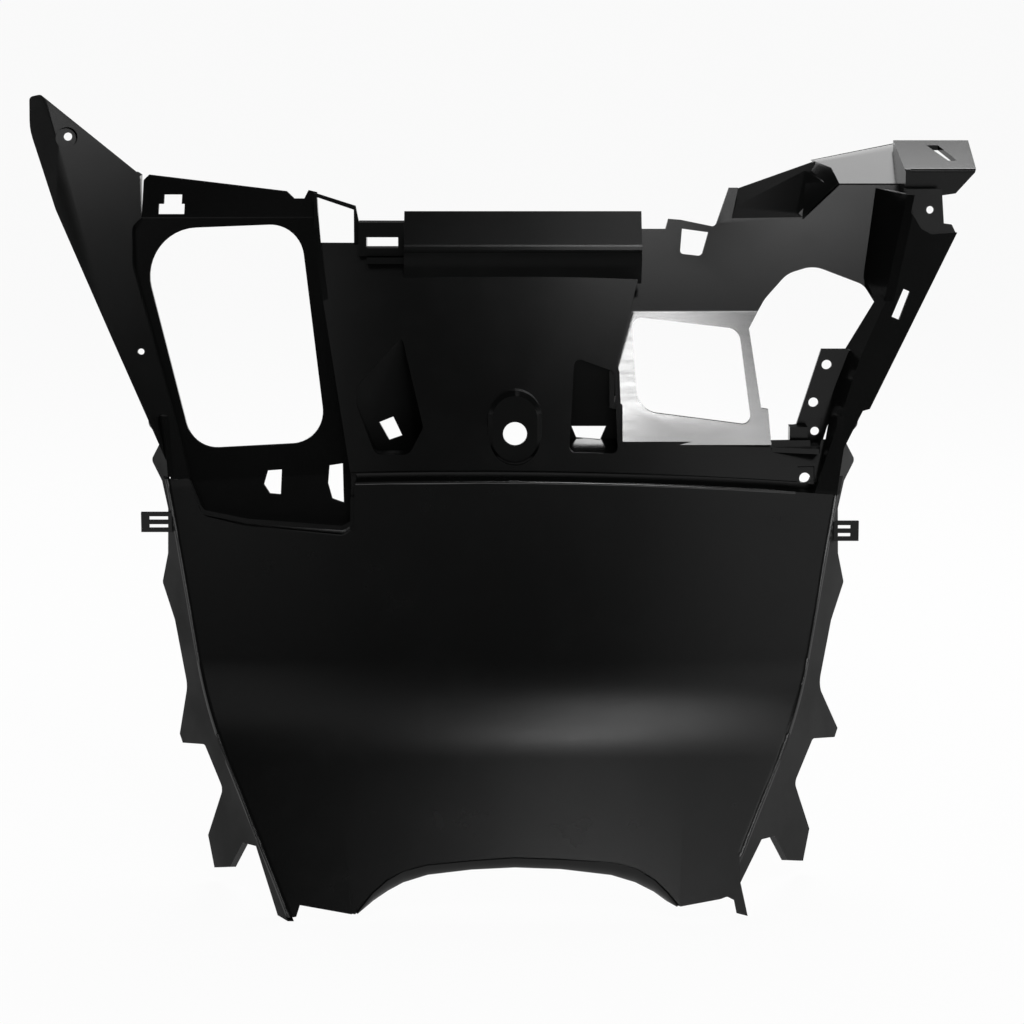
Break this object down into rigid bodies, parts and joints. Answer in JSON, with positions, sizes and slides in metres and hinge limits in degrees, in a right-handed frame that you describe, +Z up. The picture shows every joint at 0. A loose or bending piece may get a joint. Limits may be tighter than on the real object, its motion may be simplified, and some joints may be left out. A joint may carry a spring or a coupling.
{
  "type": "scooter center inner cover",
  "caption": "Moulded black plastic inner cover for a scooter's front: a bent leg panel with a framed opening, a pocketed middle, a right window and mounting wings.",
  "frame": {"origin": "middle of the centre bolt hole, on the front face of its boss", "axes": "+X to the rider's right, +Y forward on the scooter and away from the rider, +Z up; the bolt goes in from the rider's side and leaves along -Y"},
  "size_m": [0.4794, 0.2278, 0.3833],
  "materials": {
    "black_plastic": "moulded black plastic, fine grain on the lower panel"
  },
  "bodies": {
    "root": {"center_inner_cover": "black_plastic"}
  },
  "joints": []
}
